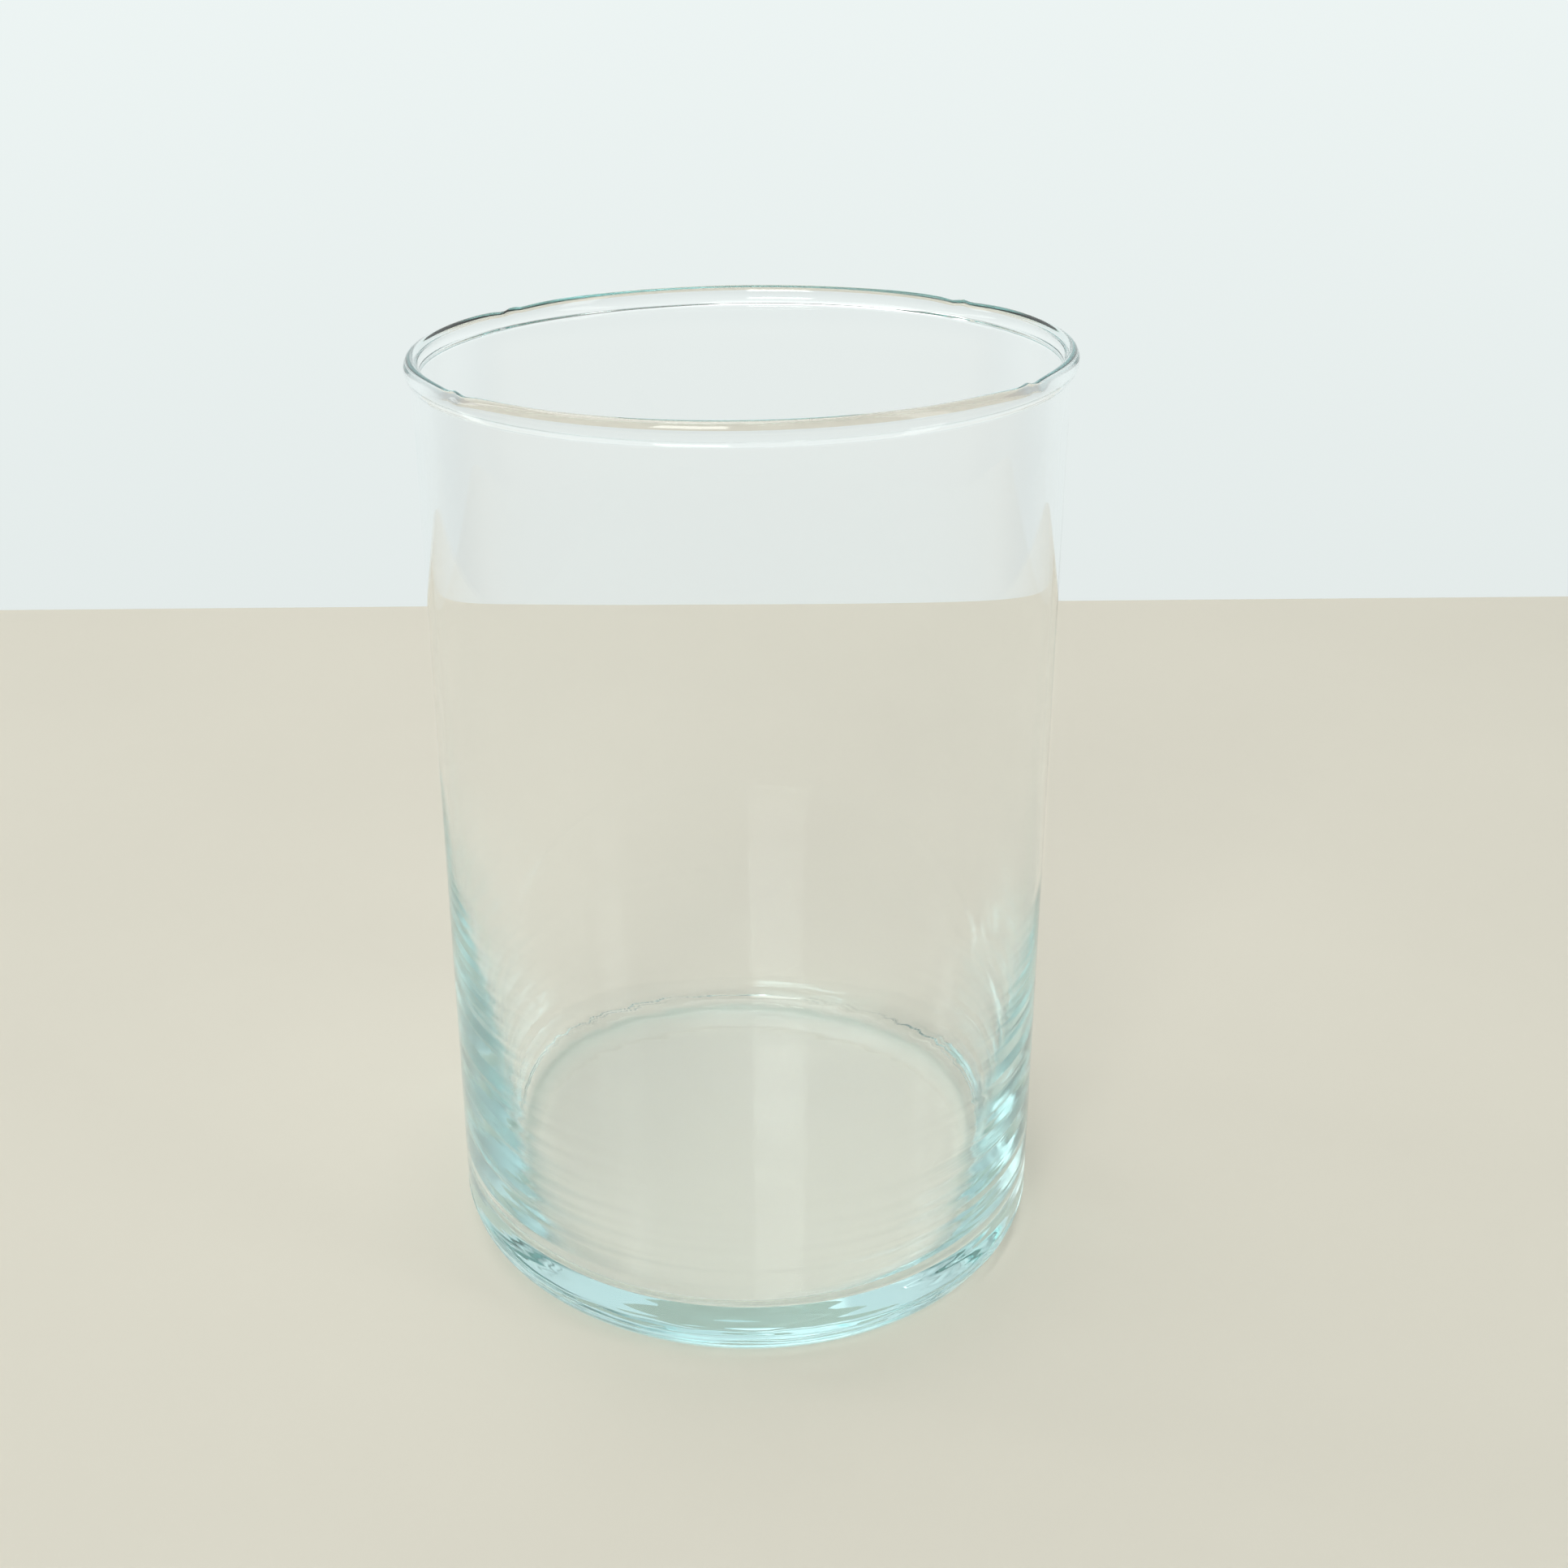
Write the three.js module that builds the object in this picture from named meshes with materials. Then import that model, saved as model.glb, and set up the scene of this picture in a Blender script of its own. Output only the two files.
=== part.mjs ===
// A cylinder vase of clear glass, drawn in the four regions that a glassmaker names:
// the base under the water, the heel that the vase stands on, the side wall, and the
// bead round the mouth. Millimetres, +Z up, with the origin at the centre of the
// standing plane. Neighbouring regions meet face to face on one plane or one cylinder.
import * as THREE from 'three';

// Driving dimensions.
const HEIGHT = 152;
const WALL_RADIUS = 50;
const WALL_THICKNESS_TOP = 1.1;
const WALL_THICKNESS_BOTTOM = 5.4;
const TAPER_END = 70;
const TAPER_POWER = 1.8;
const BEAD_HEIGHT = 3.4;
const BASE_THICKNESS = 7.5;
const BASE_RADIUS = 38;
const PUSH_UP_DEPTH = 0.8;
const HEEL_RADIUS = 5.5;
const HEEL_HEIGHT = 14;
const INNER_CORNER_RADIUS = 3;

// Fineness of the turned surfaces.
const SEGMENTS_AROUND = 72;
const ARC_STEPS = 5;
const BEAD_STEPS = 12;
const TAPER_STEPS = 9;
const HEEL_TAPER_STEPS = 2;
const PUSH_UP_STEPS = 4;

const MOUTH_RADIUS = WALL_RADIUS - WALL_THICKNESS_TOP;
const BEAD_UNDERSIDE = HEIGHT - BEAD_HEIGHT;
const CORNER_TOP = BASE_THICKNESS + INNER_CORNER_RADIUS;

const point = (radius, height) => new THREE.Vector2(radius, height);

// Points on an arc in the turning plane, from one angle to another in degrees.
function arc(radius, height, size, from, to, steps) {
  return Array.from({ length: steps + 1 }, (_, i) => {
    const angle = THREE.MathUtils.degToRad(from + ((to - from) * i) / steps);
    return point(radius + size * Math.cos(angle), height + size * Math.sin(angle));
  });
}

// The bore of the vase: the wall is thin down to the taper's end, and thickens faster and
// faster from there to the floor.
function innerRadius(height) {
  const down = THREE.MathUtils.clamp((TAPER_END - height) / (TAPER_END - BASE_THICKNESS), 0, 1);
  return MOUTH_RADIUS - (WALL_THICKNESS_BOTTOM - WALL_THICKNESS_TOP) * down ** TAPER_POWER;
}

// Points down the bore from one height to another.
function boreBetween(top, bottom, steps) {
  return Array.from({ length: steps + 1 }, (_, i) => {
    const height = THREE.MathUtils.lerp(top, bottom, i / steps);
    return point(innerRadius(height), height);
  });
}

// The underside is pushed up a little, so that only a ring at its edge stands.
function undersideHeight(radius) {
  return PUSH_UP_DEPTH * (1 - (radius / BASE_RADIUS) ** 2);
}

function turn(profile) {
  const geometry = new THREE.LatheGeometry(profile, SEGMENTS_AROUND);
  geometry.rotateX(Math.PI / 2);
  return geometry;
}

function clearGlass(tint) {
  return new THREE.MeshStandardMaterial({
    color: tint,
    roughness: 0.03,
    metalness: 0,
    transparent: true,
    opacity: 0.35,
  });
}

function region(name, profile, tint) {
  const mesh = new THREE.Mesh(turn(profile), clearGlass(tint));
  mesh.name = name;
  return mesh;
}

// Base: flat where the water stands, dished underneath.
function baseDisc() {
  const underside = Array.from({ length: PUSH_UP_STEPS + 1 }, (_, i) => {
    const radius = (BASE_RADIUS * i) / PUSH_UP_STEPS;
    return point(radius, undersideHeight(radius));
  });
  return region('base_disc', [...underside, point(BASE_RADIUS, BASE_THICKNESS),
    point(0, BASE_THICKNESS)], 0xb9dde0);
}

// Heel: the ring that the vase stands on, rounded outside and in the inner corner.
function heelRing() {
  const outside = arc(WALL_RADIUS - HEEL_RADIUS, HEEL_RADIUS, HEEL_RADIUS, -90, 0, ARC_STEPS);
  const bore = boreBetween(HEEL_HEIGHT, CORNER_TOP, HEEL_TAPER_STEPS);
  const corner = arc(innerRadius(CORNER_TOP) - INNER_CORNER_RADIUS, CORNER_TOP,
    INNER_CORNER_RADIUS, 0, -90, ARC_STEPS);
  return region('heel_ring', [point(BASE_RADIUS, 0), ...outside, point(WALL_RADIUS, HEEL_HEIGHT),
    ...bore, ...corner.slice(1), point(BASE_RADIUS, BASE_THICKNESS), point(BASE_RADIUS, 0)],
  0x9fd0d6);
}

// Side wall: straight outside, with all of its taper on the inside.
function sideWall() {
  const bore = boreBetween(TAPER_END, HEEL_HEIGHT, TAPER_STEPS);
  return region('side_wall', [point(WALL_RADIUS, HEEL_HEIGHT), point(WALL_RADIUS, BEAD_UNDERSIDE),
    point(MOUTH_RADIUS, BEAD_UNDERSIDE), ...bore, point(WALL_RADIUS, HEEL_HEIGHT)], 0xd9ecec);
}

// Rim bead: the fire-rounded mouth, an ellipse in section centred over the wall's outer
// face, so that it is flush with the bore and as proud outside as the wall is thick.
function rimBead() {
  const ellipse = Array.from({ length: BEAD_STEPS + 1 }, (_, i) => {
    const angle = Math.PI * ((1.5 * i) / BEAD_STEPS - 0.5);
    return point(WALL_RADIUS + WALL_THICKNESS_TOP * Math.cos(angle),
      HEIGHT + (BEAD_HEIGHT * (Math.sin(angle) - 1)) / 2);
  });
  return region('rim_bead', [...ellipse, point(MOUTH_RADIUS, BEAD_UNDERSIDE), ellipse[0]], 0xa9cdcb);
}

const vase = new THREE.Group();
vase.add(baseDisc(), heelRing(), sideWall(), rimBead());

export default vase;
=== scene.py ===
import math

import bpy
import numpy as np
from bpy.props import FloatProperty, FloatVectorProperty, IntProperty, PointerProperty
from mathutils import Euler, Matrix, Vector, geometry, noise


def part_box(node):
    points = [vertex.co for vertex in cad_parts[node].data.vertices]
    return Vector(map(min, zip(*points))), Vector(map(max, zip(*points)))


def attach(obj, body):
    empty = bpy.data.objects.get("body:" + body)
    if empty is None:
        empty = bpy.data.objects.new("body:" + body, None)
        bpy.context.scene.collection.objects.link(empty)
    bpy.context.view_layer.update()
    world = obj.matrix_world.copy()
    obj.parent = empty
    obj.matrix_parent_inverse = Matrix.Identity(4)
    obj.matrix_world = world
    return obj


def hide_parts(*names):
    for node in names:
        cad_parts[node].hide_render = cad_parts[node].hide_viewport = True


bl_info = {
    "name": "Glass Cylinder Vase",
    "version": (1, 0, 0),
    "blender": (4, 5, 0),
    "location": "View3D > Sidebar > Vase",
    "description": "A straight glass vase with a rim bead and a heavy foot, in a plain studio",
    "category": "Object",
}

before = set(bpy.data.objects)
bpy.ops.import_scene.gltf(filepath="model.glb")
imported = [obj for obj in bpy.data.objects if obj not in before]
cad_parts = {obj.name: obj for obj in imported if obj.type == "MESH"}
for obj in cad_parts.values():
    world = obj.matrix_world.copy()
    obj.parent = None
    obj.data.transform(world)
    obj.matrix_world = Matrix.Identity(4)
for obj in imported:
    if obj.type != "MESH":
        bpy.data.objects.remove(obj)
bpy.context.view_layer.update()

# The vase's outside, as the frame has it, in metres.
WALL_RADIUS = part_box("side_wall")[1].x
RIM_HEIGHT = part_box("rim_bead")[1].z
BEAD_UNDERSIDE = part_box("rim_bead")[0].z
BEAD_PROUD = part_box("rim_bead")[1].x - WALL_RADIUS
BASE_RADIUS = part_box("base_disc")[1].x
FLOOR_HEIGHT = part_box("base_disc")[1].z
MM = 0.001

# Points along each stretch of the vase's section.
STEPS = {
    "dish": 12, "ring": 6, "heel": 54, "foot": 12, "above_foot": 18, "outside": 20, "neck": 6,
    "bead": 28, "mouth": 16, "bore": 165, "corner": 14, "floor": 12,
}
# The bore is at its most uneven below the first height, and even above the second.
LOW_BORE = (0.030, 0.085)
# Over these heights the unevenness of the glass fades out, under the bead and round the foot.
NECK_FADE = 4 * MM
FOOT_FADE = 4 * MM
FOOT_TOP = FLOOR_HEIGHT * 2


# ---------------------------------------------------------------- settings

class VaseShape(bpy.types.PropertyGroup):
    """Sizes of the glass that the frame's boxes don't give."""

    top_thickness: FloatProperty(
        name="Wall at the Mouth", description="Thickness of the wall under the bead",
        default=0.0011, unit="LENGTH")
    foot_thickness: FloatProperty(
        name="Wall at the Foot", description="Thickness of the wall where it meets the floor",
        default=0.0054, unit="LENGTH")
    taper_end: FloatProperty(
        name="Taper End", description="Height above which the wall is thin",
        default=0.070, unit="LENGTH")
    taper_power: FloatProperty(
        name="Taper Power", description="How fast the wall thickens towards the foot", default=1.8)
    heel_radius: FloatProperty(
        name="Heel Radius", description="Round edge between the standing ring and the wall",
        default=0.0055, unit="LENGTH")
    corner_radius: FloatProperty(
        name="Inner Corner", description="Round corner between the floor and the bore",
        default=0.003, unit="LENGTH")
    push_up: FloatProperty(
        name="Push-Up", description="How far the underside is dished",
        default=0.0008, unit="LENGTH")
    ripple: FloatProperty(
        name="Bore Ripple", description="Height of the chill ripples in the thick part of the bore",
        default=0.00002, unit="LENGTH")
    unevenness: FloatProperty(
        name="Unevenness", description="How much thicker the foot is on one side",
        default=0.00045, unit="LENGTH")
    steps_around: IntProperty(
        name="Steps Around", description="Segments of the turned surface", default=256, min=24)


class VaseGlass(bpy.types.PropertyGroup):
    """Finish of the glass."""

    tint: FloatVectorProperty(
        name="Tint", description="Colour that deep glass takes on", subtype="COLOR",
        default=(0.62, 0.86, 0.87), min=0.0, max=1.0)
    depth: FloatProperty(
        name="Tint Depth", description="Density of the absorption, for each metre", default=13.0)
    ior: FloatProperty(
        name="IOR", description="Index of refraction of soda-lime glass", default=1.52)
    streak_height: FloatProperty(
        name="Streak Height", description="Height of the fine streaks in the glass's skin",
        default=0.000006, unit="LENGTH")
    ring_roughness: FloatProperty(
        name="Standing Ring", description="Roughness of the ring that rubs on the table",
        default=0.02, subtype="FACTOR", min=0.0, max=1.0)


class VaseStage(bpy.types.PropertyGroup):
    """The floor, the lights and the camera."""

    floor_colour: FloatVectorProperty(
        name="Floor", description="Pale linen-coloured floor", subtype="COLOR",
        default=(0.70, 0.66, 0.575), min=0.0, max=1.0)
    floor_size: FloatVectorProperty(
        name="Floor Size", description="Width and depth of the floor", size=2,
        default=(0.76, 0.73), unit="LENGTH")
    floor_back: FloatProperty(
        name="Floor's Back Edge", description="Behind the vase's axis", default=0.311, unit="LENGTH")
    wall_colour: FloatVectorProperty(
        name="Backdrop", description="Cool white of the wall behind the vase", subtype="COLOR",
        default=(0.815, 0.875, 0.865), min=0.0, max=1.0)
    room_colour: FloatVectorProperty(
        name="Room", description="Dimmer room at the sides and behind the camera", subtype="COLOR",
        default=(0.27, 0.28, 0.27), min=0.0, max=1.0)
    camera_distance: FloatProperty(
        name="Camera Distance", description="From the vase's axis, along the floor",
        default=0.2827, unit="LENGTH")
    camera_height: FloatProperty(
        name="Camera Height", description="Above the floor", default=0.2092, unit="LENGTH")
    camera_tilt: FloatProperty(
        name="Camera Tilt", description="How far the camera looks down",
        default=math.radians(21.46), subtype="ANGLE")
    camera_turn: FloatProperty(
        name="Camera Turn", description="How far the camera looks to its left",
        default=math.radians(2.68), subtype="ANGLE")
    camera_roll: FloatProperty(
        name="Camera Roll", description="How far the camera is held off level",
        default=math.radians(-1.39), subtype="ANGLE")
    camera_lens: FloatProperty(
        name="Lens", description="Focal length in millimetres", default=42.6)
    camera_shift: FloatVectorProperty(
        name="Lens Shift", description="Sideways and upwards, in widths of the frame", size=2,
        default=(0.079, -0.072))


# ---------------------------------------------------------------- helpers

def deselect():
    bpy.ops.object.select_all(action="DESELECT")


def name_piece(name):
    piece = bpy.context.active_object
    piece.name = piece.data.name = name
    return piece


def new_nodes(material):
    """The material's node tree, emptied but for its output, and that output."""
    material.use_nodes = True
    tree = material.node_tree
    tree.nodes.clear()
    return tree, tree.nodes.new("ShaderNodeOutputMaterial")


def add_node(tree, kind, values=None, **settings):
    """A node with its settings, and its inputs' values by name or number."""
    node = tree.nodes.new(kind)
    for key, value in settings.items():
        setattr(node, key, value)
    for key, value in (values or {}).items():
        node.inputs[key].default_value = value
    return node


def maths(tree, operation, *values):
    """The output of a Math node on sockets or numbers."""
    node = add_node(tree, "ShaderNodeMath", operation=operation)
    for socket, value in zip(node.inputs, values):
        if isinstance(value, (int, float)):
            socket.default_value = value
        else:
            tree.links.new(value, socket)
    return node.outputs[0]


def between(tree, value, low, high):
    """A smooth step from 0 at low to 1 at high."""
    node = add_node(tree, "ShaderNodeMapRange", {"From Min": low, "From Max": high},
                    interpolation_type="SMOOTHSTEP")
    tree.links.new(value, node.inputs["Value"])
    return node.outputs["Result"]


def edge(tree, distance, half_size):
    """1 within half_size degrees, softly to 0 past it, of a distance in radians."""
    node = add_node(tree, "ShaderNodeMapRange", {
        "From Min": math.radians(half_size - WINDOW_EDGE / 2),
        "From Max": math.radians(half_size + WINDOW_EDGE / 2),
        "To Min": 1.0, "To Max": 0.0}, interpolation_type="SMOOTHSTEP")
    tree.links.new(distance, node.inputs["Value"])
    return node.outputs["Result"]


def smooth(t):
    """0 to 1, eased at both ends."""
    return (1 - np.cos(np.pi * np.clip(t, 0, 1))) / 2


# ---------------------------------------------------------------- the glass

def bore_radius(shape, height):
    """Radius of the bore: wide at the mouth, narrowing faster and faster to a heavy foot."""
    down = min(max((shape.taper_end - height) / (shape.taper_end - FLOOR_HEIGHT), 0), 1)
    thickness = (shape.top_thickness
                 + (shape.foot_thickness - shape.top_thickness) * down ** shape.taper_power)
    return WALL_RADIUS - thickness


def straight(start, end, steps):
    """Points from start to end, without the last."""
    return [Vector(start).lerp(Vector(end), i / steps) for i in range(steps)]


def arc(centre, size, first, last, steps):
    """Points on an ellipse with half-widths size, from one angle to another, without the last."""
    angles = np.radians(np.linspace(first, last, steps + 1)[:-1])
    return [Vector((centre[0] + size[0] * math.cos(a), centre[1] + size[1] * math.sin(a)))
            for a in angles]


def section(shape):
    """The glass's section as (radius, height), from the middle of the underside to the
    middle of the floor inside."""
    heel, corner = shape.heel_radius, shape.corner_radius
    neck = BEAD_UNDERSIDE - BEAD_PROUD / 2
    bead = Vector((WALL_RADIUS, (BEAD_UNDERSIDE + RIM_HEIGHT) / 2))
    bead_size = Vector((BEAD_PROUD, (RIM_HEIGHT - BEAD_UNDERSIDE) / 2))
    shoulder_angle = -50
    shoulder = bead + Vector((bead_size.x * math.cos(math.radians(shoulder_angle)),
                              bead_size.y * math.sin(math.radians(shoulder_angle))))
    mouth = WALL_RADIUS - shape.top_thickness
    corner_top = Vector((bore_radius(shape, FLOOR_HEIGHT + corner), FLOOR_HEIGHT + corner))
    corner_end = Vector((corner_top.x - corner, FLOOR_HEIGHT))

    dish = [Vector((BASE_RADIUS * i / STEPS["dish"],
                    shape.push_up * (1 - (i / STEPS["dish"]) ** 2) ** 2))
            for i in range(STEPS["dish"])]
    ring = straight((BASE_RADIUS, 0), (WALL_RADIUS - heel, 0), STEPS["ring"])
    heel_arc = arc((WALL_RADIUS - heel, heel), (heel, heel), -90, 0, STEPS["heel"])
    foot_side = (straight((WALL_RADIUS, heel), (WALL_RADIUS, FLOOR_HEIGHT), STEPS["foot"])
                 + straight((WALL_RADIUS, FLOOR_HEIGHT), (WALL_RADIUS, FOOT_TOP), STEPS["above_foot"]))
    outside = straight((WALL_RADIUS, FOOT_TOP), (WALL_RADIUS, neck), STEPS["outside"])
    neck_curve = [Vector(p) for p in geometry.interpolate_bezier(
        Vector((WALL_RADIUS, neck)), Vector((WALL_RADIUS, BEAD_UNDERSIDE)),
        shoulder - Vector((bead_size.x / 3, bead_size.y / 4)), shoulder, STEPS["neck"])][:-1]
    bead_arc = arc(bead, bead_size, shoulder_angle, 180, STEPS["bead"])
    upper = straight((mouth, bead.y), (mouth, shape.taper_end), STEPS["mouth"])
    heights = np.linspace(shape.taper_end, corner_top.y, STEPS["bore"])[:-1]
    lower = [Vector((bore_radius(shape, h), h)) for h in heights]
    corner_curve = [Vector(p) for p in geometry.interpolate_bezier(
        corner_top, corner_top - Vector((corner * 0.06, corner * 0.55)),
        corner_end + Vector((corner * 0.55, 0)), corner_end, STEPS["corner"])][:-1]
    floor = straight(corner_end, (0, FLOOR_HEIGHT), STEPS["floor"])
    return (dish + ring + heel_arc + foot_side + outside + neck_curve + bead_arc + upper + lower
            + corner_curve + floor + [Vector((0, FLOOR_HEIGHT))])


def draw_and_spin(name, outline, steps):
    """Draws the outline as one run of extruded points and spins it round the axis."""
    deselect()
    bpy.ops.mesh.primitive_plane_add(size=0.001)
    piece = name_piece(name)
    bpy.ops.object.mode_set(mode="EDIT")
    bpy.ops.mesh.select_all(action="SELECT")
    bpy.ops.mesh.merge(type="CENTER")
    bpy.ops.transform.translate(value=(outline[0].x, 0, outline[0].y))
    for here, there in zip(outline, outline[1:]):
        step = (there.x - here.x, 0, there.y - here.y)
        bpy.ops.mesh.extrude_vertices_move(TRANSFORM_OT_translate={"value": step})
    bpy.ops.mesh.select_all(action="SELECT")
    bpy.ops.mesh.spin(steps=steps, angle=math.tau, center=(0, 0, 0), axis=(0, 0, 1))
    bpy.ops.mesh.select_all(action="SELECT")
    bpy.ops.mesh.remove_doubles(threshold=1e-6)
    bpy.ops.mesh.normals_make_consistent(inside=False)
    bpy.ops.object.mode_set(mode="OBJECT")
    bpy.ops.object.shade_smooth()
    return piece


def rise(point, across, up, offset):
    """Smooth noise about 0, with lumps of size across round the vase and up along it."""
    return noise.noise(Vector((point.x / across, point.y / across, point.z / up + offset)))


# Rings left on the outside of the heel where the mould's floor met its wall: how high they are,
# how far out they stand, how thick they are and how far they wander up and down, in millimetres.
MOULD_RINGS = (
    (5.9, -0.11, 0.30, 0.9),
    (5.2, 0.12, 0.32, 1.0),
    (4.5, -0.12, 0.28, 1.0),
    (3.8, 0.08, 0.26, 0.9),
)


# Marks where the rim was sealed: where they are round the vase, how deep they go, and the reach of
# each, with a ridge in its middle and a hollow to one side of that.
RIM_MARKS = [math.radians(angle) for angle in (-142, -38, 41, 140)]
MARK_DEPTH = 0.32 * MM
MARK_REACH = 6 * MM
MARK_RIDGE = 1.1 * MM
MARK_HOLLOW = 1.5 * MM
HOLLOW_OFFSET = 2.6 * MM
HOLLOW_SHARE = 0.6


def mould_rings(point):
    """How far the rings move a point of the heel out from the axis, in metres."""
    out = 0
    for height, proud, thick, wander in MOULD_RINGS:
        drift = rise(point, 0.028, 1, height) + 0.35 * rise(point, 0.006, 1, height)
        centre = (height + wander * drift) * MM
        strength = 0.6 + 0.9 * rise(point, 0.020, 1, 2 * height)
        out += proud * MM * strength * math.exp(-((point.z - centre) / (thick * MM)) ** 2)
    return out


def hand_of_the_mould(shape, piece):
    """Moves the turned surface off true, as blown and pressed glass is: chill ripples in the
    thick part of the bore, a foot thicker on one side, rings round the heel, and the marks
    where the rim was sealed."""
    bore_limit = WALL_RADIUS - shape.top_thickness * 0.8
    corner_middle = FLOOR_HEIGHT + shape.corner_radius / 2
    for vertex in piece.data.vertices:
        point = vertex.co
        radius = math.hypot(point.x, point.y)
        if radius < 1e-5:
            continue
        out = Vector((point.x, point.y, 0)) / radius
        angle = math.atan2(point.y, point.x)
        on_bore = radius < bore_limit and point.z > corner_middle
        low = 1 - smooth((point.z - LOW_BORE[0]) / (LOW_BORE[1] - LOW_BORE[0]))
        below_bead = 1 - smooth((point.z - BEAD_UNDERSIDE) / NECK_FADE + 1)
        if on_bore:
            above_corner = smooth((point.z - corner_middle) / shape.corner_radius)
            ripple = 0.4 * rise(point, 0.110, 0.0032, 3.1) + 0.8 * rise(point, 0.130, 0.0014, 7.7)
            swell = rise(point, 0.060, 0.060, 5.3) * 0.04 * MM
            heavy = shape.unevenness * math.cos(angle - math.pi) * low
            off_true = ripple * shape.ripple * (0.06 + low) + swell - heavy
            vertex.co += out * off_true * above_corner * below_bead
        elif radius > BASE_RADIUS and point.z < FOOT_TOP:
            streaks = rise(point, 0.030, 0.0011, 2.6) * 0.03 * MM * smooth(point.z / FOOT_FADE)
            below_foot_top = 1 - smooth((point.z - FOOT_TOP) / FOOT_FADE + 1)
            vertex.co += out * (streaks * below_foot_top + mould_rings(point))
        elif radius > bore_limit:
            waves = rise(point, 0.025, 0.045, 9.4) * 0.02 * MM
            vertex.co += out * waves * smooth((point.z - FOOT_TOP) / FOOT_FADE) * below_bead
        if point.z > BEAD_UNDERSIDE:
            for mark in RIM_MARKS:
                off = math.remainder(angle - mark, math.tau) * radius
                ridge = math.exp(-(off / MARK_RIDGE) ** 2)
                hollow = math.exp(-((off - HOLLOW_OFFSET) / MARK_HOLLOW) ** 2)
                share = smooth((point.z - BEAD_UNDERSIDE) / (RIM_HEIGHT - BEAD_UNDERSIDE))
                near = math.exp(-(off / MARK_REACH) ** 2)
                vertex.co.z -= MARK_DEPTH * (1 - (ridge - HOLLOW_SHARE * hollow)) * share * near
    piece.data.update()


def glass_material(glass, shape):
    """Clear glass that is aqua where it is deep, with fine streaks in its skin."""
    material = bpy.data.materials.new("Aqua-Tinted Clear Glass")
    tree, output = new_nodes(material)
    shader = add_node(tree, "ShaderNodeBsdfPrincipled", {
        "Base Color": (1, 1, 1, 1), "Roughness": 0.0, "IOR": glass.ior,
        "Transmission Weight": 1.0})
    inside = add_node(tree, "ShaderNodeVolumeAbsorption", {
        "Color": (*glass.tint, 1), "Density": glass.depth})
    place = add_node(tree, "ShaderNodeTexCoord").outputs["Object"]
    axes = add_node(tree, "ShaderNodeSeparateXYZ")
    tree.links.new(place, axes.inputs[0])
    x, y, z = axes.outputs
    radius = maths(tree, "SQRT", maths(tree, "ADD", maths(tree, "MULTIPLY", x, x),
                                       maths(tree, "MULTIPLY", y, y)))

    stretch = add_node(tree, "ShaderNodeMapping", {"Scale": (14.0, 14.0, 1800.0)})
    streaks = add_node(tree, "ShaderNodeTexNoise", {"Scale": 1.0, "Detail": 3.0, "Roughness": 0.55})
    tree.links.new(place, stretch.inputs["Vector"])
    tree.links.new(stretch.outputs[0], streaks.inputs["Vector"])
    in_bore = maths(tree, "SUBTRACT", 1.0, between(
        tree, radius, WALL_RADIUS - shape.top_thickness * 0.7, WALL_RADIUS - shape.top_thickness * 0.3))
    low_down = maths(tree, "SUBTRACT", 1.0, between(tree, z, *LOW_BORE))
    above_floor = between(tree, z, FLOOR_HEIGHT, FLOOR_HEIGHT + shape.corner_radius)
    where = maths(tree, "MULTIPLY", maths(tree, "MULTIPLY", in_bore, low_down), above_floor)
    height = maths(tree, "MULTIPLY", streaks.outputs["Fac"], where)
    bump = add_node(tree, "ShaderNodeBump", {"Strength": 1.0, "Distance": glass.streak_height})
    tree.links.new(height, bump.inputs["Height"])
    tree.links.new(bump.outputs[0], shader.inputs["Normal"])

    on_ring = maths(tree, "MULTIPLY",
                    maths(tree, "SUBTRACT", 1.0, between(tree, z, 0.00005, 0.0003)),
                    between(tree, radius, BASE_RADIUS, BASE_RADIUS + 0.001))
    rubbed = maths(tree, "MULTIPLY", on_ring, glass.ring_roughness)
    tree.links.new(rubbed, shader.inputs["Roughness"])

    tree.links.new(shader.outputs[0], output.inputs["Surface"])
    tree.links.new(inside.outputs[0], output.inputs["Volume"])
    return material


class VASE_OT_glass(bpy.types.Operator):
    """Draw the section of the vase, spin it, and give it its glass"""

    bl_idname = "vase.glass"
    bl_label = "Vase Glass"

    def execute(self, context):
        shape, glass = context.scene.vase_shape, context.scene.vase_glass
        piece = draw_and_spin("vase_glass", section(shape), shape.steps_around)
        hand_of_the_mould(shape, piece)
        piece.data.materials.append(glass_material(glass, shape))
        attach(piece, "root")
        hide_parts("base_disc", "heel_ring", "side_wall", "rim_bead")
        return {"FINISHED"}


# ---------------------------------------------------------------- the stage

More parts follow.
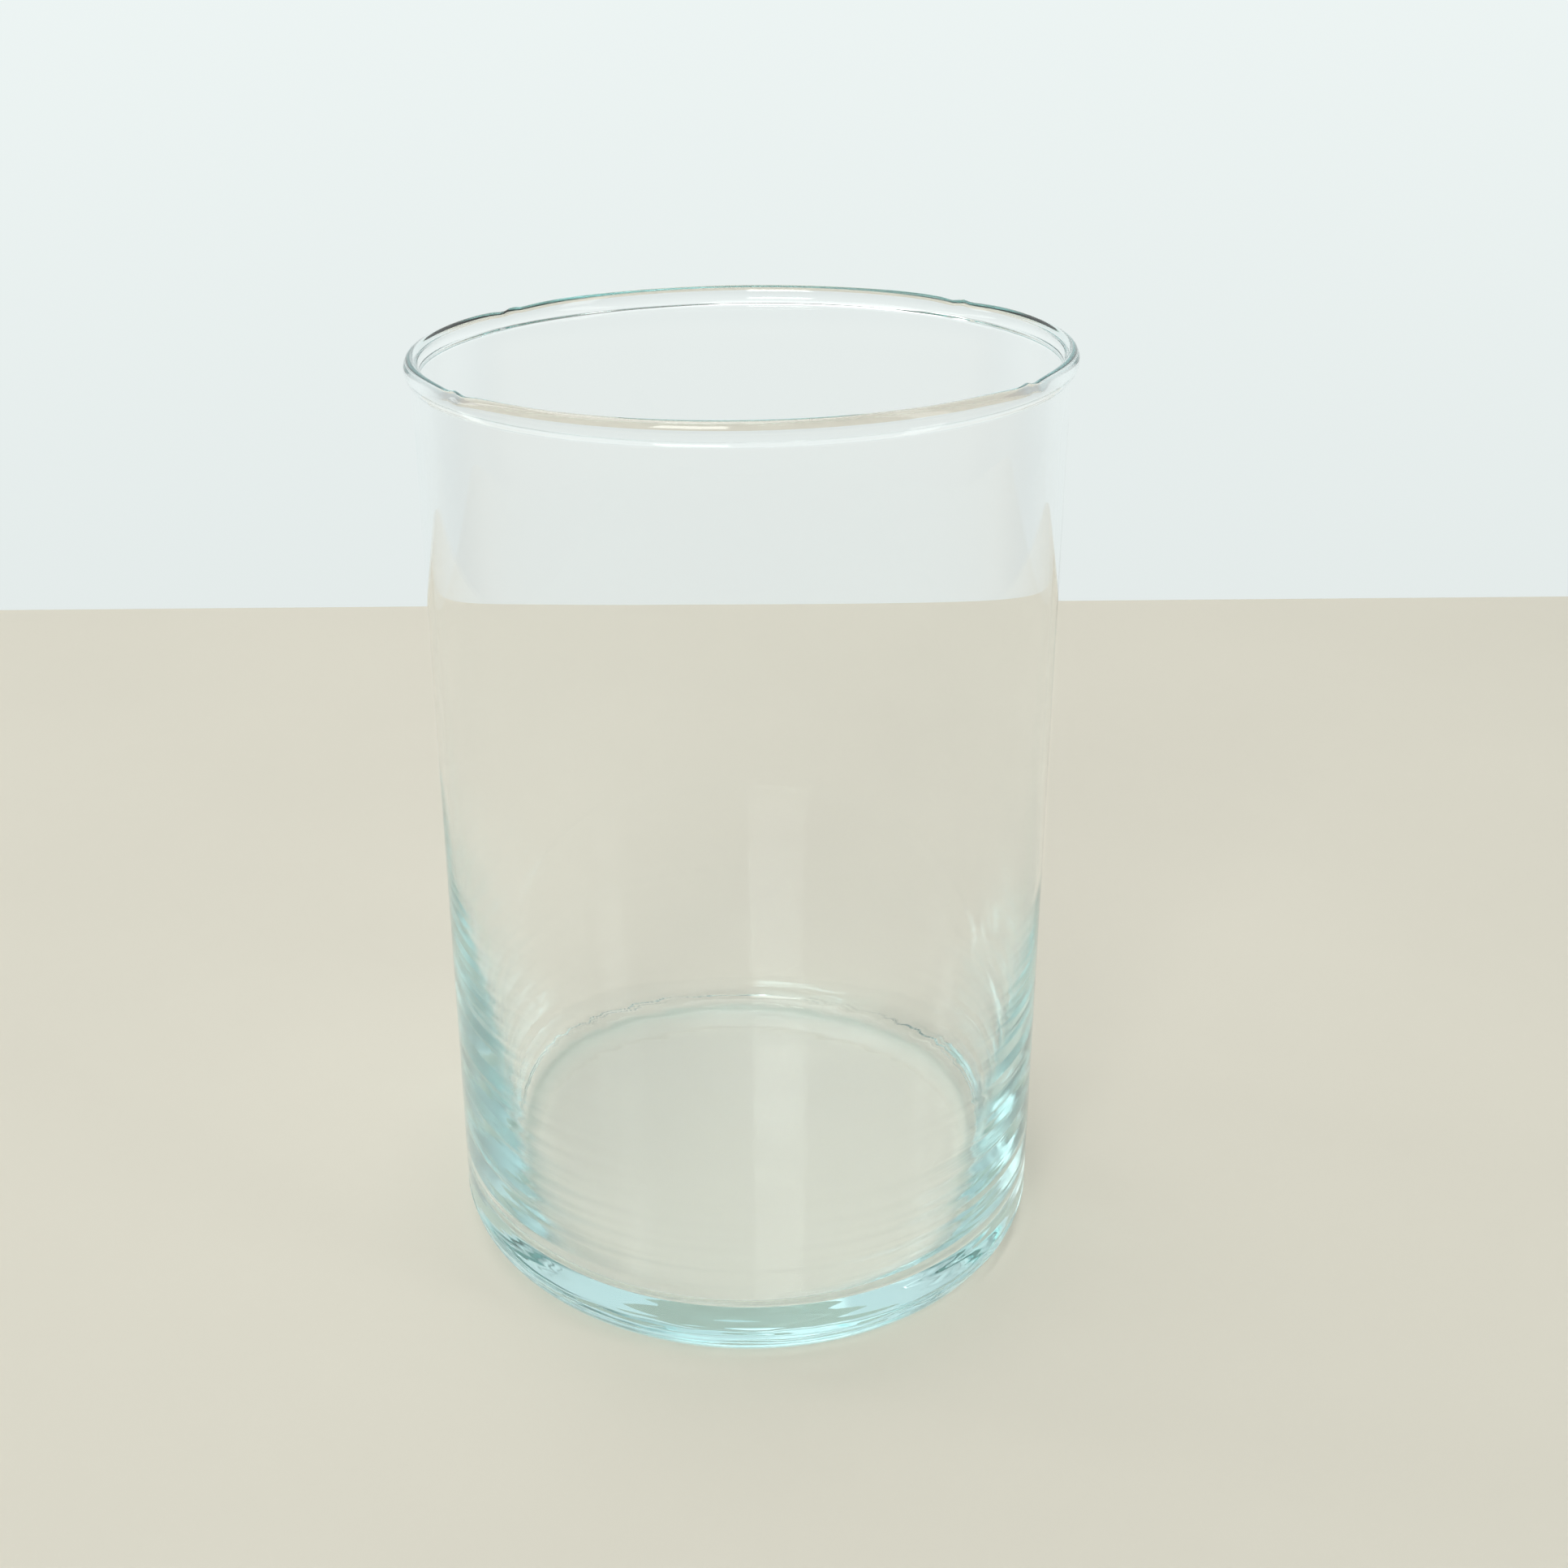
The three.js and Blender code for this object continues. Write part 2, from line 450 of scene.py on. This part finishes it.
def floor_material(stage):
    """Matt and pale, with a faint mottle, and see-through from underneath."""
    material = bpy.data.materials.new("Pale Linen Floor")
    tree, output = new_nodes(material)
    place = add_node(tree, "ShaderNodeTexCoord").outputs["Object"]
    mottle = add_node(tree, "ShaderNodeTexNoise", {"Scale": 9.0, "Detail": 4.0})
    colour = add_node(tree, "ShaderNodeMix", data_type="RGBA")
    colour.inputs["A"].default_value = (*[c * 0.97 for c in stage.floor_colour], 1)
    colour.inputs["B"].default_value = (*[c * 1.03 for c in stage.floor_colour], 1)
    tree.links.new(place, mottle.inputs["Vector"])
    tree.links.new(mottle.outputs["Fac"], colour.inputs["Factor"])
    matt = add_node(tree, "ShaderNodeBsdfPrincipled", {"Roughness": 1.0, "Specular IOR Level": 0.0})
    tree.links.new(colour.outputs["Result"], matt.inputs["Base Color"])
    clear = add_node(tree, "ShaderNodeBsdfTransparent")
    side = add_node(tree, "ShaderNodeNewGeometry").outputs["Backfacing"]
    mix = add_node(tree, "ShaderNodeMixShader")
    tree.links.new(side, mix.inputs["Fac"])
    tree.links.new(matt.outputs[0], mix.inputs[1])
    tree.links.new(clear.outputs[0], mix.inputs[2])
    tree.links.new(mix.outputs[0], output.inputs["Surface"])
    return material


def lay_floor(stage):
    deselect()
    width, depth = stage.floor_size
    bpy.ops.mesh.primitive_plane_add(size=1, location=(0, stage.floor_back - depth / 2, -0.1 * MM))
    floor = name_piece("studio_floor")
    floor.scale = (width, depth, 1)
    bpy.ops.object.transform_apply(location=True, scale=True)
    bpy.ops.object.mode_set(mode="EDIT")
    bpy.ops.mesh.select_all(action="SELECT")
    bpy.ops.mesh.bevel(offset=0.04, segments=12, affect="VERTICES")
    bpy.ops.object.mode_set(mode="OBJECT")
    floor.data.materials.append(floor_material(stage))


# Soft-edged windows in the room's light: where their middle is, clockwise from straight behind the
# vase and up from the horizon, in degrees; their half-width and half-height; and their brightness.
WINDOWS = {
    "behind the camera": ((-163, 35), (13, 11), 25.0),
    "on the right": ((115, 28), (7, 22), 7.0),
    "on the left": ((-75, 30), (5, 20), 5.6),
}
WINDOW_EDGE = 3
# How often light may bounce: inside the thick foot it turns back many times before it gets out.
LIGHT_BOUNCES = 96


def window_light(tree, bearing, height, window):
    """How much a window adds to the light from a direction."""
    (middle, rise_up), (half_width, half_height), brightness = window
    offset = maths(tree, "SUBTRACT", bearing, math.radians(middle))
    across = maths(tree, "ABSOLUTE", maths(tree, "WRAP", offset, math.pi, -math.pi))
    up = maths(tree, "ABSOLUTE", maths(tree, "SUBTRACT", height, math.radians(rise_up)))
    inside = maths(tree, "MULTIPLY",
                   edge(tree, across, half_width), edge(tree, up, half_height))
    return maths(tree, "MULTIPLY", inside, brightness)


def light_room(stage):
    """A cool-white wall behind the vase, a dimmer room with its windows, and the floor going on."""
    world = bpy.data.worlds.new("Cool White Room")
    bpy.context.scene.world = world
    world.use_nodes = True
    tree = world.node_tree
    tree.nodes.clear()
    output = tree.nodes.new("ShaderNodeOutputWorld")
    axes = add_node(tree, "ShaderNodeSeparateXYZ")
    tree.links.new(add_node(tree, "ShaderNodeTexCoord").outputs["Generated"], axes.inputs[0])
    x, y, z = axes.outputs

    shade = add_node(tree, "ShaderNodeMapRange", {
        "From Min": -0.33, "From Max": 0.2, "To Min": 0.95, "To Max": 1.1})
    tree.links.new(z, shade.inputs["Value"])
    colour = add_node(tree, "ShaderNodeMix", data_type="RGBA")
    colour.inputs["A"].default_value = (*stage.room_colour, 1)
    colour.inputs["B"].default_value = (*stage.wall_colour, 1)
    tree.links.new(between(tree, y, 0.1, 0.75), colour.inputs["Factor"])
    past_floor = add_node(tree, "ShaderNodeMix", data_type="RGBA")
    past_floor.inputs["B"].default_value = (*stage.floor_colour, 1)
    low = maths(tree, "SUBTRACT", 1.0, between(tree, z, -0.12, 0.0))
    before_wall = maths(tree, "SUBTRACT", 1.0, between(tree, y, 0.1, 0.5))
    tree.links.new(maths(tree, "MULTIPLY", low, before_wall), past_floor.inputs["Factor"])
    tree.links.new(colour.outputs["Result"], past_floor.inputs["A"])

    bearing = maths(tree, "ARCTAN2", x, y)
    height = maths(tree, "ARCSINE", z)
    light = shade.outputs["Result"]
    for window in WINDOWS.values():
        light = maths(tree, "ADD", light, window_light(tree, bearing, height, window))
    back = add_node(tree, "ShaderNodeBackground")
    tree.links.new(past_floor.outputs["Result"], back.inputs["Color"])
    tree.links.new(light, back.inputs["Strength"])
    tree.links.new(back.outputs[0], output.inputs["Surface"])


def hang_softbox(name, place, size, power, aim=(0, 0, 0.08)):
    """A rectangular softbox at place, turned towards aim."""
    deselect()
    turn = (Vector(aim) - Vector(place)).to_track_quat("-Z", "Y").to_euler()
    bpy.ops.object.light_add(type="AREA", location=place, rotation=turn)
    light = bpy.context.active_object
    light.name = light.data.name = name
    light.data.shape = "RECTANGLE"
    light.data.size, light.data.size_y = size
    light.data.energy = power


def set_camera(stage):
    deselect()
    turn = Euler((math.pi / 2 - stage.camera_tilt, 0, stage.camera_turn)).to_matrix()
    turn = turn @ Matrix.Rotation(stage.camera_roll, 3, "Z")
    bpy.ops.object.camera_add(
        location=(0, -stage.camera_distance, stage.camera_height), rotation=turn.to_euler())
    camera = bpy.context.active_object
    camera.name = camera.data.name = "studio_camera"
    camera.data.lens = stage.camera_lens
    camera.data.shift_x, camera.data.shift_y = stage.camera_shift
    camera.data.clip_start = 0.01
    bpy.context.scene.camera = camera


class VASE_OT_stage(bpy.types.Operator):
    """Lay the floor, light the room and set the camera"""

    bl_idname = "vase.stage"
    bl_label = "Studio"

    def execute(self, context):
        stage = context.scene.vase_stage
        lay_floor(stage)
        light_room(stage)
        hang_softbox("overhead_softbox", (-0.3, 0.1, 1.6), (1.4, 1.4), 10.5)
        set_camera(stage)
        context.scene.view_settings.view_transform = "Standard"
        cycles = context.scene.cycles
        cycles.max_bounces = cycles.transmission_bounces = cycles.glossy_bounces = LIGHT_BOUNCES
        cycles.blur_glossy = 0
        return {"FINISHED"}


class VASE_PT_panel(bpy.types.Panel):
    """The vase's operators and settings, in the order that they are used"""

    bl_idname = "VASE_PT_panel"
    bl_label = "Glass Cylinder Vase"
    bl_space_type = "VIEW_3D"
    bl_region_type = "UI"
    bl_category = "Vase"

    def draw(self, context):
        for operator, groups in (("vase.glass", ("vase_shape", "vase_glass")),
                                 ("vase.stage", ("vase_stage",))):
            self.layout.operator(operator)
            for group in groups:
                settings = getattr(context.scene, group)
                for key in settings.bl_rna.properties.keys():
                    if key not in {"rna_type", "name"}:
                        self.layout.prop(settings, key)


SETTINGS = {"vase_shape": VaseShape, "vase_glass": VaseGlass, "vase_stage": VaseStage}
CLASSES = (*SETTINGS.values(), VASE_OT_glass, VASE_OT_stage, VASE_PT_panel)


def register():
    for each in CLASSES:
        bpy.utils.register_class(each)
    for name, group in SETTINGS.items():
        setattr(bpy.types.Scene, name, PointerProperty(type=group))


def unregister():
    for name in SETTINGS:
        delattr(bpy.types.Scene, name)
    for each in reversed(CLASSES):
        bpy.utils.unregister_class(each)


def main():
    register()
    bpy.ops.vase.glass()
    bpy.ops.vase.stage()


if __name__ == "__main__":
    main()
